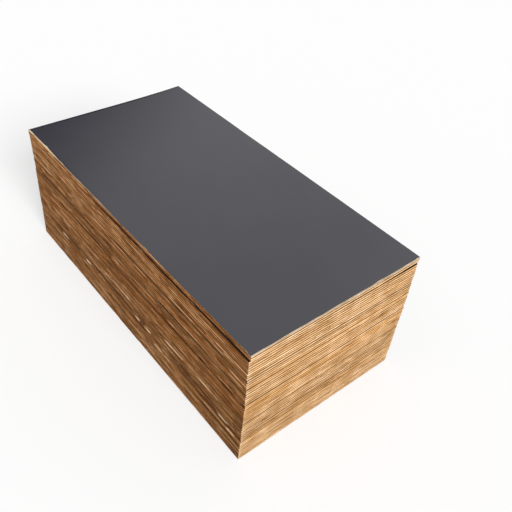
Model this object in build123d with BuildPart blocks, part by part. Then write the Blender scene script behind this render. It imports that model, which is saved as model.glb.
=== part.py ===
# Stack of film-faced plywood sheets, laid up by hand in lifts that lie a little out of line.
# X runs along the sheets, Y across them and Z up. The origin is under the middle of the stack.
import os
from math import asin, cos, sin
from random import Random

from build123d import *

os.makedirs("parts", exist_ok=True)

# One sheet: a four by eight foot panel with a thin film bonded to both faces
sheet_length = 2440.0
sheet_width = 1220.0
panel_thickness = 18.0
film_thickness = 0.2
# Sheet corners blunted by handling
corner_wear = 3.0

# The stack: how many sheets, and the air that stays between two of them
sheet_count = 48
air_gap = 0.3

# Within a lift each sheet lies out over the one below by a steady step, at the +X end
# and on the -Y side at its far (-X) and near (+X) corner
step_out_end = 0.9
step_out_far = -0.1
step_out_near = 0.6
# How far any one sheet may lie off that line, either way
slip = 0.8
# How far the most displaced lift was set back on the sheets below it
set_back = 10.0
# For each lift, the number of sheets under it, and how far it was set back at the +X end
# and on the -Y side at its far and near corner, as shares of the most
set_back_shares = {
    2: (0.05, 0.15, 0.00),
    6: (0.10, 0.05, 0.40),
    9: (0.20, 0.00, 0.40),
    11: (0.12, 0.00, 0.00),
    12: (0.20, 0.20, 0.25),
    14: (0.12, 0.00, 0.00),
    15: (0.10, -0.15, 0.30),
    18: (0.15, -0.05, 0.25),
    25: (0.10, 0.10, 0.35),
    27: (0.20, 0.00, 0.00),
    30: (0.12, 0.00, 0.00),
    31: (0.05, 0.30, 0.30),
    32: (0.15, 0.00, 0.00),
    34: (0.25, 0.00, 0.00),
    37: (0.10, -0.10, 0.25),
    38: (0.30, 0.00, 0.00),
    41: (0.00, -0.05, 0.25),
    42: (0.20, 0.00, 0.00),
    45: (0.20, 0.00, 0.00),
    46: (0.05, -0.40, 1.00),
}

# The topmost sheets curl up off the stack at one long edge
curled_count = 2
curl_run = 430.0
curl_lift = 9.0

# Worked out from the sizes above
sheet_thickness = panel_thickness + film_thickness + film_thickness
pitch = sheet_thickness + air_gap
half_length = sheet_length / 2
half_width = sheet_width / 2
curl_start = half_width - curl_run
first_curled = sheet_count - curled_count

# The slips are drawn in a fixed order, as shares of the largest slip either way
full_share = 1.0
no_shares = (0, 0, 0)
stacking = Random(sheet_count)


def slip_of_a_sheet():
    """How far off its lift's line a sheet was laid."""
    return slip * stacking.triangular(-full_share, full_share, 0)


def laid_places():
    """Each sheet's place from the floor up: at the end, and across at the far and near corner."""
    end = 0
    far = 0
    near = 0
    places = []
    for level in range(sheet_count):
        end_share, far_share, near_share = set_back_shares.get(level, no_shares)
        end += step_out_end - set_back * end_share
        far += set_back * far_share - step_out_far
        near += set_back * near_share - step_out_near
        places.append((end + slip_of_a_sheet(), far + slip_of_a_sheet(), near + slip_of_a_sheet()))
    return places


def middle(lengths):
    """The length half way between the least and the most."""
    return (min(lengths) + max(lengths)) / 2


def undersides():
    """The plane that each sheet's underside lies in, with its length along the plane's X."""
    ends, fars, nears = zip(*laid_places())
    middle_end = middle(ends)
    middle_side = middle(fars + nears)
    planes = []
    for level, (end, far, near) in enumerate(zip(ends, fars, nears)):
        turn = asin((near - far) / sheet_length)
        across = middle((far, near)) - middle_side
        planes.append(
            Plane(
                origin=(end - middle_end, across, pitch * level),
                x_dir=(cos(turn), sin(turn), 0),
                z_dir=(0, 0, 1),
            )
        )
    return planes


def flat_sheet(plane):
    """A sheet that lies flat on the one below."""
    with BuildPart() as sheet:
        with BuildSketch(plane):
            RectangleRounded(sheet_length, sheet_width, corner_wear)
        extrude(amount=sheet_thickness)
    return sheet


def curled_sheet(plane):
    """A sheet that lies flat up to the start of the curl and then bends up to one long edge."""
    section = Plane(origin=plane.origin, x_dir=plane.y_dir, z_dir=plane.x_dir)
    with BuildPart() as sheet:
        with BuildSketch(section):
            with BuildLine():
                flat_under = Line((-half_width, 0), (curl_start, 0))
                TangentArc(flat_under @ 1, (half_width, curl_lift), tangent=flat_under % 1)
                curled_edge = Line((half_width, curl_lift), (half_width, curl_lift + sheet_thickness))
                bend_top = (curl_start, sheet_thickness)
                TangentArc(bend_top, curled_edge @ 1, tangent=flat_under % 1)
                flat_over = Line(bend_top, (-half_width, sheet_thickness))
                Line(flat_over @ 1, flat_under @ 0)
            make_face()
        extrude(amount=half_length, both=True)
        fillet(sheet.edges().filter_by(Axis.Z), corner_wear)
    return sheet


for level, plane in enumerate(undersides()):
    build_sheet = curled_sheet if level >= first_curled else flat_sheet
    sheet = build_sheet(plane)
    sheet.part.label = f"sheet_{level + 1:02d}"
    export_step(sheet.part, f"parts/{sheet.part.label}.step")
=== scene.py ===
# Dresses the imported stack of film-faced plywood sheets and sets up its floor, light and camera, in metres
import math
from dataclasses import dataclass

import bpy
import numpy as np
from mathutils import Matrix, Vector


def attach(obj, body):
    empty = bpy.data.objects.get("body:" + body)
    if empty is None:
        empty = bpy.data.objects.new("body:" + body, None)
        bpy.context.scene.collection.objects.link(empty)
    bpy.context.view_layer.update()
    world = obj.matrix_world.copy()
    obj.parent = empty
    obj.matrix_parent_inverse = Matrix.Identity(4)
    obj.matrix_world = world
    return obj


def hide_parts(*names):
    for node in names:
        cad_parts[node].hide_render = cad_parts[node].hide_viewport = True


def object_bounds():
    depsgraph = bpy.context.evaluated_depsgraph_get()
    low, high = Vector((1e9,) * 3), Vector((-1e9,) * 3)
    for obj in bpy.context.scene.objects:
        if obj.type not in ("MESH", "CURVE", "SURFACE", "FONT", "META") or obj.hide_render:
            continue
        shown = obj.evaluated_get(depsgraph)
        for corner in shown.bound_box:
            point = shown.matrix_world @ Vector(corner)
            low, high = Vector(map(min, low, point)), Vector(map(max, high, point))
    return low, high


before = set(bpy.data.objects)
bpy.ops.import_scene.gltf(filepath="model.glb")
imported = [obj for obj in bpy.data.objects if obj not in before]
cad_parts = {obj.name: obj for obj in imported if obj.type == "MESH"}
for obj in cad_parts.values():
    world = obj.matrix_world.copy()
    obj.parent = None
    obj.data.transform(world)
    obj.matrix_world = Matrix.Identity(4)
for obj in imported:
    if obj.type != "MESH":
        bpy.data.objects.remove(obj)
cad_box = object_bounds()

# When two points count as one: decimals of a point, decimals of a line across a sheet, and a distance
POINT_DECIMALS = 6
LINE_DECIMALS = 5
TINY = 2e-5

# The four sides of a sheet, in order round it from above
SIDES = range(4)
NEAR_SIDE, NEAR_END, FAR_SIDE, FAR_END = SIDES

# A sheet's make-up: the film's visible edge, the veneers between, and the blunted corners
FILM_EDGE = 0.0003
VENEERS = 9
VENEER_STEP = 0.00008
CORNER_WEAR = 0.003
CORNER_STEPS = 3
# How far a line between two veneers may lie off its even place, as a share of a veneer
VENEER_SHIFT = 0.15
# How far apart points lie along an edge
EDGE_STEP = 0.022
# What owns a row of points up an edge: a veneer, counted from 0, or the film's two rows below or above them
LOWER_FILM = -1
UPPER_FILM = VENEERS
FILM_ROWS = 2
# What a face is made of, in the order of a sheet's materials
OF_FILM, OF_WOOD = range(2)

# How far the sawn edge, the veneers and the handled faces depart from a clean box, always inwards
SAW_WANDER = 0.0005
VENEER_RELIEF = 0.0006
CORE_GAP_DEPTH = 0.007
CHIP_DEPTH = 0.004
WORN_RIM = 0.010
CRUSH_DEPTH = 0.0016
CRUSH_REACH = 0.022
TORN_DEPTH = 0.014
# A veneer's share of its relief at least and at most, and how far the share wavers
RELIEF_SHARES = (0.2, 0.8)
RELIEF_WAVER = 0.2
# A crushed edge's share of its depth in the mean, and how far the share wavers
CRUSH_SHARE = 0.4
CRUSH_WAVER = 0.8
# A chip's share that goes on into the veneer next to the film
CHIPPED_VENEER = 0.3
# Lengths of the waves along the sawn edge, a veneer, a crushed edge and a worn rim
SAW_WAVE = 0.6
RELIEF_WAVE = 0.08
CRUSH_WAVE = 0.35
WORN_HIGHLIGHT_WAVE = 0.05
# How worn the film is at the top sheet's upper rim, whose bared wood is also a painted highlight, and by
# what
# share that wavers: at places along the near side, given as shares of it, on the near end, and elsewhere
WORN_HIGHLIGHT_PLACES = (0.12, 0.20, 0.40, 0.48)
WORN_HIGHLIGHT_NEAR_SIDE = (1.0, 0.4, 0.35, 0.1)
WORN_HIGHLIGHT_NEAR_END = 0.6
WORN_HIGHLIGHT_ELSEWHERE = 0.1
WORN_HIGHLIGHT_WAVER = 0.2
# Short stretches of damage: one to so many metres of edge, and their least and greatest length
CHIPS = (0.8, 0.03, 0.09)
CORE_GAPS = (1.2, 0.04, 0.15)
SPLINTERS = (1.2, 0.03, 0.10)
STAINS = (1.6, 0.03, 0.10)
# How strong such a stretch is at least and at most, and how flat it is on top
PATCH_STRENGTHS = (0.4, 1)
PATCH_FLATNESS = 1.3
# The fewest waves round an edge
FEWEST_WAVES = 4

# Bare wood along the sides, darker and redder there partly as painted shade, across the ends, and on a paler
# near end
SIDE_WOOD_AND_SHADE = np.array((0.455, 0.186, 0.050))
END_WOOD = np.array((0.595, 0.349, 0.154))
PALER_END_WOOD = np.array((0.585, 0.40, 0.235))
# Sheets whose near end is paler and less saturated
PALER_END_SHEETS = (47, 48)
# Wood where the film has worn off and where veneers are torn, both pale partly as a painted highlight, and
# in splinters
WORN_WOOD_AND_HIGHLIGHT = np.array((0.85, 0.68, 0.45))
FRESH_WOOD_AND_HIGHLIGHT = np.array((0.95, 0.76, 0.50))
SPLINTER_WOOD = np.array((0.80, 0.48, 0.22))
# The lightest that any wood may be
LIGHTEST = 0.95
# How strongly red, green and blue follow a streak's tone: dark wood is redder, light wood paler
TONE_POWERS = np.array((0.8, 1.1, 1.7))
# How much warmer or cooler a sheet may be than the next, and what warmth adds to red, green and blue
WARMTH_SPREAD = 0.05
WARMTH = np.array((0.4, -0.3, -1.6))
# How much darker glue and painted shade of the joint make the outer veneers, next to the film and on their
# other side, and at most
GLUE_AND_SHADE_DARKENING = (0.97, 0.88)
MOST_GLUE_AND_SHADE = 0.97
# A sheet's share of that at least and at most, and how far and in what waves it wavers
GLUE_AND_SHADE_SHARES = (0.9, 1)
GLUE_AND_SHADE_WAVER = 0.1
GLUE_AND_SHADE_WAVE = 0.25
# The power by which fresh wood and painted highlight show less in those glued veneers
GLUED_PALING = 4
# Tone of the veneers next to those, and of the core between them, along the sides and along the ends
SECOND_TONE = (0.55, 0.62)
CORE_TONE = (1.40, 1.34)
# How much tone varies from sheet to sheet, along the sides and along the ends
SHEET_SPREAD = (0.14, 0.05)
# How much it varies from one long or short stretch of a sheet to the next, and how long those are
LONG_WANDER = (0.20, 0.12)
LONG_RUNS = (0.15, 0.70)
SHORT_WANDER = (0.58, 0.12)
SHORT_RUNS = (0.04, 0.16)
# How much it varies from veneer to veneer, and in stretches that a few neighbouring veneers share
VENEER_SPREAD = (0.06, 0.03)
VENEER_WANDER = (0.15, 0.05)
VENEER_RUNS = (0.02, 0.12)
VENEER_GROUP = 3
# How much darker the near side grows towards the near end, and where along it the other sides are as dark
SIDE_FADE = 0.12
SIDE_MIDDLE = 0.5

# Sheets came in lots: each lot's lowest sheet, counted from the floor, and its tone along sides and ends
LOT_TONES = {
    1: (-0.10, 0.02),
    # The lot from sheet 9 is darker, along the sides partly as painted shade of a recess
    9: (-0.36, -0.10),
    15: (-0.12, 0.00),
    17: (0.06, 0.00),
    25: (-0.06, 0.05),
    29: (0.22, 0.08),
    31: (0.02, 0.04),
    37: (0.02, -0.10),
    39: (0.05, 0.00),
    47: (0.10, 0.00),
}
# Stretches where the upper veneers are torn down to fresh wood: the sheet and its side, and for each one
# how deep it is torn, and where it starts and ends as shares along that side
TORN_MARKS = {
    (17, NEAR_SIDE): ((0.20, 0.44, 0.53), (0.30, 0.70, 0.77), (0.20, 0.83, 0.91)),
    (12, NEAR_SIDE): (
        (0.40, 0.14, 0.18),
        (0.45, 0.28, 0.31),
        (0.25, 0.36, 0.39),
        (1.0, 0.55, 0.57),
        (1.0, 0.60, 0.63),
    ),
    (11, NEAR_SIDE): ((0.25, 0.0, 0.03), (0.35, 0.68, 0.71), (0.50, 0.91, 0.95)),
    (10, NEAR_SIDE): ((0.20, 0.09, 0.18), (0.30, 0.27, 0.31)),
    (9, NEAR_SIDE): ((0.30, 0.64, 0.68), (0.20, 0.69, 0.72), (0.20, 0.86, 0.89), (0.40, 0.95, 0.98)),
}
# The lowest veneer that a torn stretch reaches
TORN_FROM = 3
# How far torn wood of the full depth pales towards fresh wood, partly a painted highlight on the torn ledges
TORN_PALING = 1.8
# Joints with dirt and painted shade under a sheet, given the same way by how dark they are
DIRTY_AND_SHADED_JOINTS = {
    (47, NEAR_SIDE): ((0.9, 0.35, 0.65), (0.5, 0.65, 0.85)),
    (38, NEAR_SIDE): ((0.75, 0.45, 1.0),),
    (33, NEAR_SIDE): ((0.95, 0.05, 0.50),),
    (32, NEAR_SIDE): ((0.85, 0.50, 1.0),),
    (28, NEAR_SIDE): ((0.9, 0.15, 0.45),),
    (27, NEAR_SIDE): ((0.9, 0.45, 1.0),),
    (20, NEAR_SIDE): ((0.6, 0.5, 1.0),),
    (16, NEAR_SIDE): ((0.6, 0.4, 1.0),),
    (14, NEAR_SIDE): ((0.6, 0.1, 0.6),),
    (13, NEAR_SIDE): ((0.9, 0.06, 0.25), (0.9, 0.38, 0.54), (0.9, 0.57, 0.60), (0.9, 0.72, 0.99)),
    (11, NEAR_SIDE): ((0.7, 0.57, 0.60), (0.7, 0.75, 1.0)),
    (8, NEAR_SIDE): ((0.8, 0.35, 0.5), (0.8, 0.55, 0.65), (0.8, 0.8, 1.0)),
    (48, NEAR_END): ((0.75, 0.0, 1.0),),
    (47, NEAR_END): ((0.5, 0.75, 1.0),),
    (43, NEAR_END): ((0.6, 0.88, 0.95),),
    (39, NEAR_END): ((0.35, 0.0, 0.45), (0.6, 0.52, 0.56)),
    (34, NEAR_END): ((0.35, 0.1, 0.4),),
    (28, NEAR_END): ((0.35, 0.0, 0.5),),
    (18, NEAR_END): ((0.97, 0.43, 0.49), (0.6, 0.56, 0.62), (0.8, 0.65, 0.74), (0.9, 0.89, 1.0)),
    (15, NEAR_END): ((0.4, 0.2, 0.28), (0.5, 0.36, 0.47)),
    (13, NEAR_END): ((0.5, 0.03, 0.25), (0.5, 0.30, 0.55), (0.5, 0.84, 0.93)),
    (11, NEAR_END): ((0.7, 0.03, 0.20), (0.6, 0.47, 0.53), (0.6, 0.87, 0.92)),
    (10, NEAR_END): ((0.5, 0.0, 0.55),),
}
# How dark dirt and painted shade make the other joints at most, along sides and ends, and how long such
# stretches are
JOINT_DIRT_AND_SHADE = (0.5, 0.45)
SIDE_DIRT_AND_SHADE_RUNS = (0.3, 1.2)
END_DIRT_AND_SHADE_RUNS = (0.03, 0.15)
# How far a whole joint may lean towards clean or dark along the sides
DIRT_AND_SHADE_LEANING = (-1, 0.6)
# How far and in what waves dirt and painted shade waver along a joint
DIRT_AND_SHADE_WAVER = 0.12
DIRT_AND_SHADE_WAVE = 0.06
# How many veneers dirt and painted shade cover above a joint and below it, along the sides and along the
# ends
DIRTY_AND_SHADED_ABOVE = (6, 4)
DIRTY_AND_SHADED_BELOW = (3, 1)
# Stretches of lighter wood, and a column of the near end painted lighter as light falling on it, given the
# same way
LIGHT_MARKS = {(number, NEAR_END): ((0.12, 0.49, 0.65),) for number in range(25, 47)}
LIGHT_MARKS |= {
    (29, NEAR_SIDE): ((0.45, 0.29, 0.32), (0.45, 0.46, 0.51)),
    (28, NEAR_SIDE): ((0.45, 0.29, 0.32), (0.45, 0.46, 0.51), (0.45, 0.72, 0.76)),
    (27, NEAR_SIDE): ((0.45, 0.72, 0.76),),
    (17, NEAR_SIDE): ((0.60, 0.40, 0.53), (0.70, 0.70, 0.77), (0.60, 0.83, 0.91)),
    (25, NEAR_END): ((0.20, 0.57, 0.62),),
    (24, NEAR_END): ((0.20, 0.58, 0.63),),
    (23, NEAR_END): ((0.12, 0.45, 0.90),),
}
# Short splintered and stained dashes, a few veneers thick: how pale on sides and ends, and how dark
DASH_VENEERS = 4
SPLINTER_PALING = (0.5, 0.2)
STAIN_TONE = 0.6
# How far the ends' corners pale towards fresh wood as a painted highlight, and how near to the corner
CORNER_HIGHLIGHT = 0.3
CORNER_SHARE = 0.004
# What lies on a sheet's film: nothing, dark grime that paints shade on sheet 46's ledge, or sawdust as on
# all but the topmost sheets
CLEAN, GRIMY_AND_SHADED, DUSTY = 0.0, 0.5, 1.0
TOPMOST_FILM = {46: GRIMY_AND_SHADED, 47: CLEAN, 48: CLEAN}


@dataclass
class Lie:
    """How a sheet lies: its middle, axes, half sizes and thickness, and its underside's height across it."""

    middle: np.ndarray
    axes: np.ndarray
    half: np.ndarray
    thickness: float
    across: np.ndarray
    under: np.ndarray


@dataclass
class Edge:
    """Points round a sheet's edge, anticlockwise from above."""

    spots: np.ndarray
    outs: np.ndarray
    sides: np.ndarray
    shares: np.ndarray
    path: np.ndarray
    total: float

    @property
    def ends(self):
        """Which points lie on the sheet's ends."""
        return np.isin(self.sides, (NEAR_END, FAR_END))


@dataclass
class Rows:
    """Rows of points up a sheet's edge: heights, insets and owners, and how worn the upper rim is."""

    heights: np.ndarray
    insets: np.ndarray
    owners: list
    worn: np.ndarray


def lie_of(node):
    """How a node's sheet lies, read from its solid."""
    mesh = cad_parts[node].data
    points = np.empty(len(mesh.vertices) * 3)
    mesh.vertices.foreach_get("co", points)
    points = points.reshape(-1, 3)
    outline = np.unique(points[:, :2].round(POINT_DECIMALS), axis=0)
    middle = (outline.max(0) + outline.min(0)) / 2
    bearing = np.arctan2(outline[:, 1] - middle[1], outline[:, 0] - middle[0])
    ring = outline[np.argsort(bearing)]
    runs = np.roll(ring, -1, axis=0) - ring
    longest = runs[np.argmax(np.hypot(runs[:, 0], runs[:, 1]))]
    along = longest / np.hypot(*longest) * np.sign(longest[0])
    axes = np.array((along, (-along[1], along[0])))
    local = (points[:, :2] - middle) @ axes.T
    half = local.max(0)
    across = np.unique(local[:, 1].round(LINE_DECIMALS))
    under = np.array([points[np.abs(local[:, 1] - line) < TINY, 2].min() for line in across])
    flat_edge = points[local[:, 1] < -half[1] + TINY, 2]
    return Lie(middle, axes, half, flat_edge.max() - flat_edge.min(), across, under)


def edge_round(half):
    """The edge of a sheet of these half sizes, with its blunted corners."""
    spots, outs, sides, shares = [], [], [], []

    def add(spot, out, side, share):
        spots.append(spot)
        outs.append(out)
        sides.append(side % len(SIDES))
        shares.append(share)

    for side in SIDES:
        heading = math.radians(90 * side - 90)
        out = np.array((math.cos(heading), math.sin(heading)))
        forward = np.array((-out[1], out[0]))
        reach, run = (half[0], half[1]) if side in (NEAR_END, FAR_END) else (half[1], half[0])
        run = run - CORNER_WEAR
        for share in np.linspace(0, 1, round(2 * run / EDGE_STEP) + 1):
            add(out * reach + forward * run * (2 * share - 1), out, side, share)
        centre = out * (reach - CORNER_WEAR) + forward * run
        for step in range(1, CORNER_STEPS):
            turn = heading + math.radians(90 * step / CORNER_STEPS)
            way = np.array((math.cos(turn), math.sin(turn)))
            past = round(step / CORNER_STEPS)
            add(centre + way * CORNER_WEAR, way, side + past, 1 - past)
    spots = np.array(spots)
    lengths = np.hypot(*(np.roll(spots, -1, axis=0) - spots).T)
    path = np.cumsum(lengths) - lengths
    return Edge(spots, np.array(outs), np.array(sides), np.array(shares), path, lengths.sum())


def wander(rng, edge, wave):
    """Smooth random waves between -1 and 1 round an edge."""
    count = max(FEWEST_WAVES, round(edge.total / wave))
    knots = rng.uniform(-1, 1, count)
    place = edge.path / edge.total * count
    before = place.astype(int) % count
    part = place % 1
    part = part * part * (3 - 2 * part)
    return knots[before] * (1 - part) + knots[(before + 1) % count] * part


def patches(rng, edge, spacing, shortest, longest):
    """Short random stretches round an edge, from 0 between them to up to 1 within."""
    amount = np.zeros(len(edge.path))
    for _ in range(rng.poisson(edge.total / spacing)):
        reach = rng.uniform(shortest, longest) / 2
        middle = rng.uniform(0, edge.total)
        strength = rng.uniform(*PATCH_STRENGTHS)
        away = np.abs((edge.path - middle + edge.total / 2) % edge.total - edge.total / 2)
        swell = np.clip(PATCH_FLATNESS - PATCH_FLATNESS * (away / reach) ** 2, 0, 1)
        amount = np.maximum(amount, strength * swell)
    return amount


def stretches(rng, edge, shortest, longest):
    """A level that keeps for a random stretch round an edge and then changes, as in pieced veneers."""
    ends = np.cumsum(rng.uniform(shortest, longest, math.ceil(edge.total / shortest)))
    return rng.uniform(-1, 1, len(ends))[np.searchsorted(ends, edge.path)]


def by_side(edge, pair):
    """The first of a pair of values along a sheet's sides, and the second along its ends."""
    return np.where(edge.ends, pair[1], pair[0])


def marked(edge, marks, number):
    """How strongly one sheet's edge is marked, from 0 to 1."""
    amount = np.zeros(len(edge.shares))
    for side in SIDES:
        for strength, start, end in marks.get((number, side), ()):
            amount[(edge.sides == side) & (edge.shares >= start) & (edge.shares <= end)] = strength
    return amount


def worn_and_highlighted_rim(rng, edge):
    """How much the film has worn off the top sheet's upper rim, from 0 to 1; the bared rim is also a painted
    highlight.
    """
    near_side = np.interp(edge.shares, WORN_HIGHLIGHT_PLACES, WORN_HIGHLIGHT_NEAR_SIDE)
    others = np.where(edge.sides == NEAR_END, WORN_HIGHLIGHT_NEAR_END, WORN_HIGHLIGHT_ELSEWHERE)
    amount = np.where(edge.sides == NEAR_SIDE, near_side, others)
    return amount * (1 - WORN_HIGHLIGHT_WAVER + WORN_HIGHLIGHT_WAVER * wander(rng, edge, WORN_HIGHLIGHT_WAVE))


def edge_rows(rng, edge, thick, number, is_top):
    """Rows of points up a sheet's edge, with its veneers, chips, core gaps and torn stretches."""
    bounds = np.linspace(FILM_EDGE, thick - FILM_EDGE, VENEERS + 1)
    bounds[1:-1] += rng.uniform(-VENEER_SHIFT, VENEER_SHIFT, VENEERS - 1) * (bounds[1] - bounds[0])
    saw = SAW_WANDER * (1 + wander(rng, edge, SAW_WAVE)) / 2
    chip_low = CHIP_DEPTH * patches(rng, edge, *CHIPS)
    chip_high = CHIP_DEPTH * patches(rng, edge, *CHIPS)
    worn = worn_and_highlighted_rim(rng, edge) if is_top else np.zeros(len(edge.path))
    torn = TORN_DEPTH * marked(edge, TORN_MARKS, number)
    film_low = saw + chip_low
    film_high = saw + chip_high + WORN_RIM * worn + torn

    heights = [0.0, FILM_EDGE]
    insets = [film_low] * FILM_ROWS
    owners = [LOWER_FILM] * FILM_ROWS
    for veneer in range(VENEERS):
        relief = rng.uniform(*RELIEF_SHARES) + RELIEF_WAVER * wander(rng, edge, RELIEF_WAVE)
        inset = saw + VENEER_RELIEF * relief
        inset = inset + torn * max(0, veneer + 0.5 - TORN_FROM) / (VENEERS - TORN_FROM)
        if veneer == 0:
            inset = inset + CHIPPED_VENEER * chip_low
        elif veneer == VENEERS - 1:
            inset = inset + CHIPPED_VENEER * chip_high
        else:
            inset = inset + CORE_GAP_DEPTH * patches(rng, edge, *CORE_GAPS)
        heights += [bounds[veneer] + VENEER_STEP, bounds[veneer + 1] - VENEER_STEP]
        insets += [inset, inset]
        owners += [veneer, veneer]
    heights += [thick - FILM_EDGE, thick]
    insets += [film_high] * FILM_ROWS
    owners += [UPPER_FILM] * FILM_ROWS
    return Rows(np.array(heights), np.array(insets), owners, worn)


def crush(rng, edge):
    """How far handling has crushed a sheet's edge from one face."""
    return CRUSH_DEPTH * np.clip(CRUSH_SHARE + CRUSH_WAVER * wander(rng, edge, CRUSH_WAVE), 0, 1)


def face_strips(inner, limit):
    """Strips across a sheet's face, from one end of its inner outline to the other, as rings of points."""

    def line(axis, way):
        """Points on one line of the outline, in order along it."""
        found = np.where(way * inner[:, axis] > limit[axis] - TINY)[0]
        return found[np.argsort(inner[found, 1 - axis])].tolist()

    low = line(0, -1)
    high = line(0, 1)
    first = line(1, -1)
    last = line(1, 1)[::-1]
    strips = [[low[step], high[step], high[step + 1], low[step + 1]] for step in range(1, len(low) - 2)]
    return fan(first, low[1], high[1]) + strips + fan(last, high[-2], low[-2])


def fan(row, start, end):
    """Triangles from a row of points to two points beside its start and its end."""
    half = len(row) // 2
    corners = [start] * half + [end] * (len(row) - 1 - half)
    return [list(ring) for ring in zip(row, row[1:], corners)] + [[row[half], end, start]]


def sheet_faces(owners, inner, inner_of, limit):
    """A sheet's faces and what each is made of: up its edge, over both rims, and across both flats."""
    count = len(inner_of)
    column = np.arange(count)
    following = (column + 1) % count
    faces, stuffs = [], []
    for row, (owner, next_owner) in enumerate(zip(owners, owners[1:])):
        low, high = row * count, (row + 1) * count
        ring = (low + column, low + following, high + following, high + column)
        faces += np.stack(ring, axis=1).tolist()
        is_film = owner == next_owner and owner in (LOWER_FILM, UPPER_FILM)
        stuffs += [OF_FILM if is_film else OF_WOOD] * count

    upper = len(owners) * count
    lower = upper + len(inner)
    strips = face_strips(inner, limit)
    for flat, rim, order in ((upper, upper - count, 1), (lower, 0, -1)):
        rings = [
            [rim + here, rim + after, flat + inner_of[after], flat + inner_of[here]]
            for here, after in zip(column.tolist(), following.tolist())
        ]
        rings += [[flat + point for point in strip] for strip in strips]
        faces += [list(dict.fromkeys(ring))[::order] for ring in rings]
        stuffs += [OF_FILM] * len(rings)
    return faces, stuffs


def joint_dirt_and_shade(edge, number):
    """How dark the joint under one sheet is with dirt and painted shade, from 0 to 1: where it is marked,
    and in its own stretches.
    """
    rng = np.random.default_rng((number, VENEERS))
    on_sides = np.clip(rng.uniform(*DIRT_AND_SHADE_LEANING) + stretches(rng, edge, *SIDE_DIRT_AND_SHADE_RUNS), 0, 1)
    ragged = 1 - DIRT_AND_SHADE_WAVER + DIRT_AND_SHADE_WAVER * wander(rng, edge, DIRT_AND_SHADE_WAVE)
    on_ends = np.clip(stretches(rng, edge, *END_DIRT_AND_SHADE_RUNS), 0, 1)
    own = by_side(edge, JOINT_DIRT_AND_SHADE) * by_side(edge, (on_sides, on_ends))
    return ragged * np.maximum(own, marked(edge, DIRTY_AND_SHADED_JOINTS, number))


def sheet_tone(rng, edge, number):
    """How light or dark one sheet's edge is: by its lot, by itself, and from stretch to stretch."""
    lot = LOT_TONES[max(lowest for lowest in LOT_TONES if lowest <= number)]
    power = by_side(edge, lot) + by_side(edge, SHEET_SPREAD) * rng.normal(0, 1)
    power += by_side(edge, LONG_WANDER) * stretches(rng, edge, *LONG_RUNS)
    power += by_side(edge, SHORT_WANDER) * stretches(rng, edge, *SHORT_RUNS)
    power -= SIDE_FADE * np.where(edge.sides == NEAR_SIDE, edge.shares, SIDE_MIDDLE)
    # Marked stretches are lighter, and on the near end a column is painted light
    return np.exp(power + marked(edge, LIGHT_MARKS, number))


def veneer_tones(rng, edge):
    """How light or dark each veneer is, from the lowest up: by itself, and in stretches that a few share."""
    tones = []
    for veneer in range(VENEERS):
        if veneer % VENEER_GROUP == 0:
            shared = by_side(edge, VENEER_WANDER) * stretches(rng, edge, *VENEER_RUNS)
        tones.append(np.exp(shared + by_side(edge, VENEER_SPREAD) * rng.normal(0, 1)))
    return tones


def moved(colour, target, share):
    """The colour at each point, moved by its share towards another."""
    return colour + (target - colour) * share[:, None]


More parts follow.
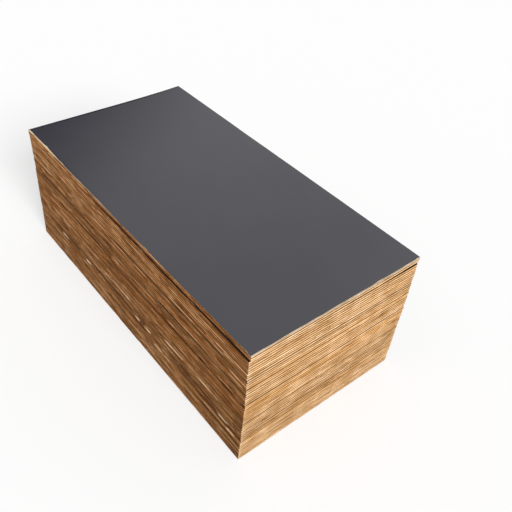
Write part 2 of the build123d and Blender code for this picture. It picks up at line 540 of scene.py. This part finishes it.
def edge_colours(rng, edge, rows, number):
    """The bare wood's colour at each point round a sheet's edge, for each row of points up it."""
    # Along the sides the wood is darker and redder, partly its own tone and partly painted shade
    wood = np.where(edge.ends[:, None], END_WOOD, SIDE_WOOD_AND_SHADE)
    if number in PALER_END_SHEETS:
        wood[edge.sides == NEAR_END] = PALER_END_WOOD
    wood = wood * (1 + WARMTH * rng.normal(0, WARMTH_SPREAD))
    glue_and_shade = rng.uniform(*GLUE_AND_SHADE_SHARES) + GLUE_AND_SHADE_WAVER * wander(rng, edge, GLUE_AND_SHADE_WAVE)
    own_tone = sheet_tone(rng, edge, number)
    own_tones = veneer_tones(rng, edge)
    splinters = by_side(edge, SPLINTER_PALING) * patches(rng, edge, *SPLINTERS)
    splintered = rng.integers(1, VENEERS - DASH_VENEERS)
    stains = 1 - STAIN_TONE * patches(rng, edge, *STAINS)
    stained = rng.integers(1, VENEERS - DASH_VENEERS)
    dirt_and_shade_below = joint_dirt_and_shade(edge, number)
    dirt_and_shade_above = joint_dirt_and_shade(edge, number + 1)
    covered_from_below = by_side(edge, DIRTY_AND_SHADED_ABOVE)
    covered_from_above = VENEERS - by_side(edge, DIRTY_AND_SHADED_BELOW)
    corner = edge.ends & (edge.shares * (1 - edge.shares) < CORNER_SHARE)
    torn = np.clip(TORN_PALING * marked(edge, TORN_MARKS, number), 0, 1)
    lowest_row = FILM_ROWS
    highest_row = len(rows.owners) - 1 - FILM_ROWS

    colours = []
    for row, owner in enumerate(rows.owners):
        if owner in (LOWER_FILM, UPPER_FILM):
            colours.append(np.tile(WORN_WOOD_AND_HIGHLIGHT, (len(wood), 1)))
            continue
        tone = own_tone * own_tones[owner]
        # Torn wood and the ends' corners pale towards fresh wood: on the corners a painted highlight, on
        # torn stretches partly one
        fresh_and_highlight = np.maximum(CORNER_HIGHLIGHT * corner, torn if owner >= TORN_FROM else 0)
        # Glue darkens the outer veneers, and painted shade of the joint darkens them further
        if owner in (0, VENEERS - 1):
            darkening = GLUE_AND_SHADE_DARKENING[0 if row in (lowest_row, highest_row) else 1]
            tone = tone * (1 - np.clip(glue_and_shade * darkening, 0, MOST_GLUE_AND_SHADE))
            fresh_and_highlight = fresh_and_highlight**GLUED_PALING
        else:
            tone = tone * by_side(edge, SECOND_TONE if owner in (1, VENEERS - 2) else CORE_TONE)
        if 0 <= owner - stained < DASH_VENEERS:
            tone = tone * stains
        # Dirt and painted shade darken the veneers next to the joints
        tone = tone * np.where(owner < covered_from_below, 1 - dirt_and_shade_below, 1)
        tone = tone * np.where(owner >= covered_from_above, 1 - dirt_and_shade_above, 1)
        colour = wood * tone[:, None] ** TONE_POWERS
        if 0 <= owner - splintered < DASH_VENEERS:
            colour = moved(colour, SPLINTER_WOOD, splinters)
        colour = moved(colour, FRESH_WOOD_AND_HIGHLIGHT, fresh_and_highlight)
        # The top sheet's worn upper rim pales, as bared wood and as a painted highlight
        if row == highest_row:
            colour = moved(colour, WORN_WOOD_AND_HIGHLIGHT, rows.worn)
        colours.append(colour / np.maximum(1, colour.max(1, keepdims=True) / LIGHTEST))
    return np.array(colours)


def add_attribute(mesh, name, kind, field, values):
    """One value or colour for each of a mesh's points."""
    mesh.attributes.new(name, kind, "POINT").data.foreach_set(field, values.astype(np.float32).ravel())


def dressed_sheet(node, number, is_top, film, wood):
    """A sheet's mesh with its film, its veneers and the wear of its edges, and what its materials read."""
    rng = np.random.default_rng(number)
    lie = lie_of(node)
    edge = edge_round(lie.half)
    thick = lie.thickness
    rows = edge_rows(rng, edge, thick, number, is_top)

    # Edges crushed thinner by handling, which opens and closes the gap to the next sheet
    crush_low = crush(rng, edge)
    crush_high = crush(rng, edge)
    share = (rows.heights / thick)[:, None]
    lifts = rows.heights[:, None] + crush_low * (1 - share) - crush_high * share

    # The flat of the two faces, inside the crushed edge
    limit = lie.half - CRUSH_REACH
    clipped = np.clip(edge.spots, -limit, limit).round(POINT_DECIMALS)
    inner, inner_of = np.unique(clipped, axis=0, return_inverse=True)
    outer = (edge.spots - edge.outs * rows.insets[:, :, None]).reshape(-1, 2)
    spots = np.concatenate([outer, inner, inner])
    lift = np.concatenate([lifts.reshape(-1), np.full(len(inner), thick), np.zeros(len(inner))])
    faces, stuffs = sheet_faces(rows.owners, inner, inner_of.reshape(-1).tolist(), limit)

    # Into the frame, following the curl of the underside
    places = np.empty((len(spots), 3))
    places[:, :2] = lie.middle + spots @ lie.axes
    places[:, 2] = np.interp(spots[:, 1], lie.across, lie.under) + lift
    mesh = bpy.data.meshes.new(node + "_plywood")
    mesh.from_pydata(places.tolist(), [], faces)
    mesh.materials.append(film)
    mesh.materials.append(wood)
    mesh.polygons.foreach_set("material_index", stuffs)

    # What the materials read
    colours = np.ones((len(spots), 4))
    colours[: len(outer), :3] = edge_colours(rng, edge, rows, number).reshape(-1, 3)
    endwise = np.zeros(len(spots))
    endwise[: len(outer)] = np.tile(edge.ends, len(rows.owners))
    on_film = np.full(len(spots), TOPMOST_FILM.get(number, DUSTY))
    add_attribute(mesh, "edge_wood", "FLOAT_COLOR", "color", colours)
    add_attribute(mesh, "endwise", "FLOAT", "value", endwise)
    add_attribute(mesh, "sawdust", "FLOAT", "value", on_film)
    add_attribute(mesh, "sheet", "FLOAT", "value", np.full(len(spots), float(number)))
    mesh.update()
    return mesh


class Wiring:
    """A node tree, with short ways to add nodes to it and wire them."""

    def __init__(self, tree):
        self.tree = tree

    def wire(self, node, inputs):
        """Link or set a node's inputs, by name or number."""
        for key, value in inputs.items():
            if isinstance(value, bpy.types.NodeSocket):
                self.tree.links.new(value, node.inputs[key])
            else:
                node.inputs[key].default_value = value

    def add(self, kind, inputs=None, give=0, **settings):
        """A new node with its settings and inputs, as its first output or a named one."""
        node = self.tree.nodes.new("ShaderNode" + kind)
        for key, value in settings.items():
            setattr(node, key, value)
        self.wire(node, inputs or {})
        return node.outputs[give]

    def attribute(self, name):
        """A value that each of the mesh's points has."""
        return self.add("Attribute", give="Fac", attribute_name=name)

    def noise(self, place, scale, detail, roughness, sheet=None):
        """Noise of so many waves to the metre along each axis, and each sheet's own where one is given."""
        scaled = self.add("Mapping", {"Vector": place, "Scale": scale})
        inputs = {"Vector": scaled, "Scale": 1.0, "Detail": detail, "Roughness": roughness}
        if sheet is None:
            return self.add("TexNoise", inputs)
        return self.add("TexNoise", inputs | {"W": sheet}, noise_dimensions="4D")

    def mapped(self, value, before, after):
        """A value carried from one span to another, and held at both ends."""
        return self.add("MapRange", {0: value, 1: before[0], 2: before[1], 3: after[0], 4: after[1]})

    def maths(self, operation, *values):
        """A sum with numbers."""
        return self.add("Math", dict(enumerate(values)), operation=operation)

    def vectors(self, operation, *values):
        """A sum with colours or vectors."""
        return self.add("VectorMath", dict(enumerate(values)), operation=operation)

    def scaled(self, vector, factor):
        """A colour or vector times a number."""
        return self.add("VectorMath", {0: vector, "Scale": factor}, operation="SCALE")

    def lean(self, way, direction):
        """How far a way leans in a direction."""
        return self.add("VectorMath", {0: way, 1: direction}, give="Value", operation="DOT_PRODUCT")

    def mixed(self, share, first, second):
        """A number between two."""
        return self.add("Mix", {0: share, 2: first, 3: second})

    def mixed_colour(self, share, first, second):
        """A colour between two."""
        return self.add("Mix", {0: share, 6: first, 7: second}, give=2, data_type="RGBA")

    def bump(self, height, strength, depth):
        """A surface's normal with a height's bumps."""
        return self.add("Bump", {"Height": height, "Strength": strength, "Distance": depth})


def new_material(name):
    """A new node material, with the wiring of its tree and its shader."""
    material = bpy.data.materials.new(name)
    material.use_nodes = True
    return material, Wiring(material.node_tree), material.node_tree.nodes["Principled BSDF"]


# Noise in the wood and the film: waves to the metre along each axis, detail and roughness
STREAKS = ((18, 18, 110), 4, 0.6)
BLOTCHES = ((10, 10, 6), 3, 0.6)
PORES = ((300, 300, 1100), 3, 0.6)
CLOUDS = ((1.7, 1.7, 1.7), 5, 0.55)
SCUFFS = ((4, 55, 8), 6, 0.7)
SPECKLE = ((420, 420, 420), 2, 0.5)
DRIFTS = ((9, 9, 9), 3, 0.5)
NOISE_MIDDLE = 0.5
# How strongly streaks show along the sides and along the ends, and how strongly blotches do
STREAK_CONTRAST = (0.5, 0.2)
BLOTCH_CONTRAST = 0.45
# The tone of a streak or blotch at a power of one
FULL_TONE = 10.0
# From a span of noise to a span of tone, roughness or depth
PORE_TONES = ((0.3, 0.6), (0.8, 1.06))
PORE_ROUGHNESS = ((0.3, 0.7), (0.9, 0.66))
CLOUD_TONES = ((0.3, 0.7), (0.93, 1.07))
CLOUD_ROUGHNESS = ((0.3, 0.7), (0.15, 0.19))
SCUFF_TONES = ((0.6, 0.85), (1.0, 1.25))
DRIFT_DEPTHS = ((0.42, 0.58), (0.75, 1.0))
# Strength and depth of bumps
PORE_BUMP = (0.5, 0.0006)
SPECKLE_BUMP = (0.1, 0.0003)
# The film and what lies on it
FILM = (0.040, 0.0385, 0.050)
# Dark grime; on sheet 46's ledge under the top two sheets it is painted shade
GRIME_AND_SHADE = (0.02, 0.013, 0.009, 1)
SAWDUST = (0.36, 0.21, 0.09, 1)
COVERED_ROUGHNESS = 0.9
# How much wood, clean film and dusty film shine
WOOD_GLOSS = 0.08
CLEAN_GLOSS = 0.5
DUSTY_GLOSS = 0.08


def wood_material():
    """Bare sawn veneer edges: each point's own wood, streaked along the sheet, blotched and pitted."""
    material, wiring, shader = new_material("sawn_veneer")
    wood = wiring.add("Attribute", attribute_name="edge_wood")
    sheet = wiring.attribute("sheet")
    place = wiring.add("TexCoord", give="Object")
    pores = wiring.noise(place, *PORES, sheet)
    streak = wiring.maths("SUBTRACT", wiring.noise(place, *STREAKS, sheet), NOISE_MIDDLE)
    contrast = wiring.mapped(wiring.attribute("endwise"), (0, 1), STREAK_CONTRAST)
    blotch = wiring.maths("SUBTRACT", wiring.noise(place, *BLOTCHES), NOISE_MIDDLE)
    blotch_power = wiring.maths("MULTIPLY", blotch, BLOTCH_CONTRAST)
    power = wiring.maths("MULTIPLY_ADD", streak, contrast, blotch_power)
    channels = [wiring.maths("POWER", FULL_TONE**channel, power) for channel in TONE_POWERS.tolist()]
    streaked = wiring.vectors("MULTIPLY", wood, wiring.add("CombineXYZ", dict(enumerate(channels))))
    pitted = wiring.scaled(streaked, wiring.mapped(pores, *PORE_TONES))
    inputs = {
        "Base Color": wiring.vectors("MINIMUM", pitted, (LIGHTEST, LIGHTEST, LIGHTEST)),
        "Roughness": wiring.mapped(pores, *PORE_ROUGHNESS),
        "Normal": wiring.bump(pores, *PORE_BUMP),
        "Specular IOR Level": WOOD_GLOSS,
    }
    wiring.wire(shader, inputs)
    return material


def film_material(name, gloss):
    """The dark satin film on the faces, with faint scuffs, and the grime or drifts of sawdust on it; on
    sheet 46's ledge the grime is painted shade.
    """
    material, wiring, shader = new_material(name)
    place = wiring.add("TexCoord", give="Object")
    on_film = wiring.attribute("sawdust")
    clouds = wiring.noise(place, *CLOUDS)
    cloud_tone = wiring.mapped(clouds, *CLOUD_TONES)
    scuff_tone = wiring.mapped(wiring.noise(place, *SCUFFS), *SCUFF_TONES)
    film = wiring.scaled(FILM, wiring.maths("MULTIPLY", cloud_tone, scuff_tone))
    drifted = wiring.mapped(wiring.noise(place, *DRIFTS), *DRIFT_DEPTHS)
    grimy_and_shaded = wiring.mapped(on_film, (CLEAN, GRIMY_AND_SHADED), (0, 1))
    dusty = wiring.mapped(on_film, (GRIMY_AND_SHADED, DUSTY), (0, drifted))
    inputs = {
        "Base Color": wiring.mixed_colour(dusty, wiring.mixed_colour(grimy_and_shaded, film, GRIME_AND_SHADE), SAWDUST),
        "Roughness": wiring.mixed(grimy_and_shaded, wiring.mapped(clouds, *CLOUD_ROUGHNESS), COVERED_ROUGHNESS),
        "Normal": wiring.bump(wiring.noise(place, *SPECKLE), *SPECKLE_BUMP),
        "Specular IOR Level": gloss,
    }
    wiring.wire(shader, inputs)
    return material


def dress_stack():
    """Every sheet of the stack, from the floor up, each standing for its solid."""
    wood = wood_material()
    clean_film = film_material("dark_film", CLEAN_GLOSS)
    dusty_film = film_material("dusty_film", DUSTY_GLOSS)
    nodes = sorted(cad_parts)
    for number, node in enumerate(nodes, start=1):
        film = clean_film if TOPMOST_FILM.get(number) == CLEAN else dusty_film
        mesh = dressed_sheet(node, number, node == nodes[-1], film, wood)
        sheet = bpy.data.objects.new(mesh.name, mesh)
        bpy.context.scene.collection.objects.link(sheet)
        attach(sheet, "root")
        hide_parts(node)


# Floor: white to the camera and in reflections, greyer to the light that it throws back, with a shadow
FLOOR_HALF = 30.0
SEEN_FLOOR = (0.97, 0.97, 0.97, 1)
LIT_FLOOR = (0.36, 0.36, 0.36, 1)
FLOOR_GLOW = 0.55
WHITE = (1, 1, 1, 1)


def lay_floor():
    """A wide level floor under the stack."""
    mesh = bpy.data.meshes.new("floor")
    ways = ((-1, -1), (1, -1), (1, 1), (-1, 1))
    corners = [(x * FLOOR_HALF, y * FLOOR_HALF, cad_box[0].z) for x, y in ways]
    mesh.from_pydata(corners, [], [(0, 1, 2, 3)])
    material, wiring, shader = new_material("floor")
    to_camera = wiring.add("LightPath", give="Is Camera Ray")
    to_gloss = wiring.add("LightPath", give="Is Glossy Ray")
    seen = wiring.maths("MAXIMUM", to_camera, to_gloss)
    colour = wiring.mixed_colour(seen, LIT_FLOOR, SEEN_FLOOR)
    wiring.wire(shader, {"Base Color": colour, "Roughness": 1.0, "Specular IOR Level": 0.0})
    glow = wiring.maths("MULTIPLY", to_camera, FLOOR_GLOW)
    white = wiring.add("Emission", {"Color": WHITE, "Strength": 1.0})
    blend = wiring.add("MixShader", {0: glow, 1: shader.outputs[0], 2: white})
    wiring.wire(material.node_tree.nodes["Material Output"], {"Surface": blend})
    mesh.materials.append(material)
    floor = bpy.data.objects.new("floor", mesh)
    bpy.context.scene.collection.objects.link(floor)


# Light: an even pale sky, white to the camera, and a soft key from the near end
SKY_LEVEL = 0.45
KEY_LEVEL = 1.10
KEY_FROM = (0.85, -0.12, 0.50)
KEY_SOFTNESS = math.radians(24)
# In reflections the sky is white, but for a dim patch past the far end: the direction in which it grows
# lighter, and how light it is for how far a reflection leans that way
GLOSS_FROM = (0.5, 0.65, 0.95)
GLOSS_LEVELS = (
    (0.25, 0.0),
    (0.31, 0.34),
    (0.385, 0.76),
    (0.43, 0.98),
    (0.53, 1.05),
    (0.776, 1.0),
    (0.86, 1.2),
)
# Towards the near side the mirrored sky is white again: how far that way it starts to be, and is
WHITE_FROM = (0, -1, 0)
WHITE_PAST = (-0.2, 0.05)


def light_scene():
    """The sky and the key light."""
    scene = bpy.context.scene
    scene.world = bpy.data.worlds.new("studio")
    scene.world.use_nodes = True
    wiring = Wiring(scene.world.node_tree)
    to_camera = wiring.add("LightPath", give="Is Camera Ray")
    to_gloss = wiring.add("LightPath", give="Is Glossy Ray")
    way = wiring.add("TexCoord", give="Generated")
    mirrored = wiring.add("ValToRGB", {0: wiring.lean(way, GLOSS_FROM)})
    ramp = mirrored.node.color_ramp
    for place, _ in GLOSS_LEVELS[len(ramp.elements) :]:
        ramp.elements.new(place)
    for stop, (place, level) in zip(ramp.elements, GLOSS_LEVELS):
        stop.position = place
        stop.color = (level, level, level, 1)
    near_sky = wiring.mapped(wiring.lean(way, WHITE_FROM), WHITE_PAST, (0, 1))
    glossy_sky = wiring.maths("MAXIMUM", mirrored, near_sky)
    unseen_sky = wiring.mixed(to_gloss, SKY_LEVEL, glossy_sky)
    sky = wiring.mixed(to_camera, unseen_sky, 1.0)
    wiring.wire(scene.world.node_tree.nodes["Background"], {"Color": WHITE, "Strength": sky})
    lamp = bpy.data.lights.new("key", "SUN")
    lamp.energy = KEY_LEVEL * math.pi
    lamp.angle = KEY_SOFTNESS
    key = bpy.data.objects.new("key", lamp)
    scene.collection.objects.link(key)
    key.rotation_mode = "QUATERNION"
    key.rotation_quaternion = Vector(KEY_FROM).to_track_quat("Z", "Y")


# Camera: fitted to the stack's corners as the photo shows them, turned by degrees, its lens in millimetres
CAMERA_AT = (2.6179, -1.8966, 3.1733)
CAMERA_TURN = (48.7995, -3.9338, 51.1518)
CAMERA_LENS = 44.289
CAMERA_SENSOR = 36.0
CAMERA_REACH = 200.0


def place_camera():
    """The photo's point of view."""
    data = bpy.data.cameras.new("camera")
    data.lens = CAMERA_LENS
    data.sensor_width = CAMERA_SENSOR
    data.clip_end = CAMERA_REACH
    camera = bpy.data.objects.new("camera", data)
    bpy.context.scene.collection.objects.link(camera)
    camera.location = CAMERA_AT
    camera.rotation_euler = [math.radians(angle) for angle in CAMERA_TURN]
    bpy.context.scene.camera = camera


dress_stack()
lay_floor()
light_scene()
place_camera()
bpy.context.scene.view_settings.view_transform = "Standard"
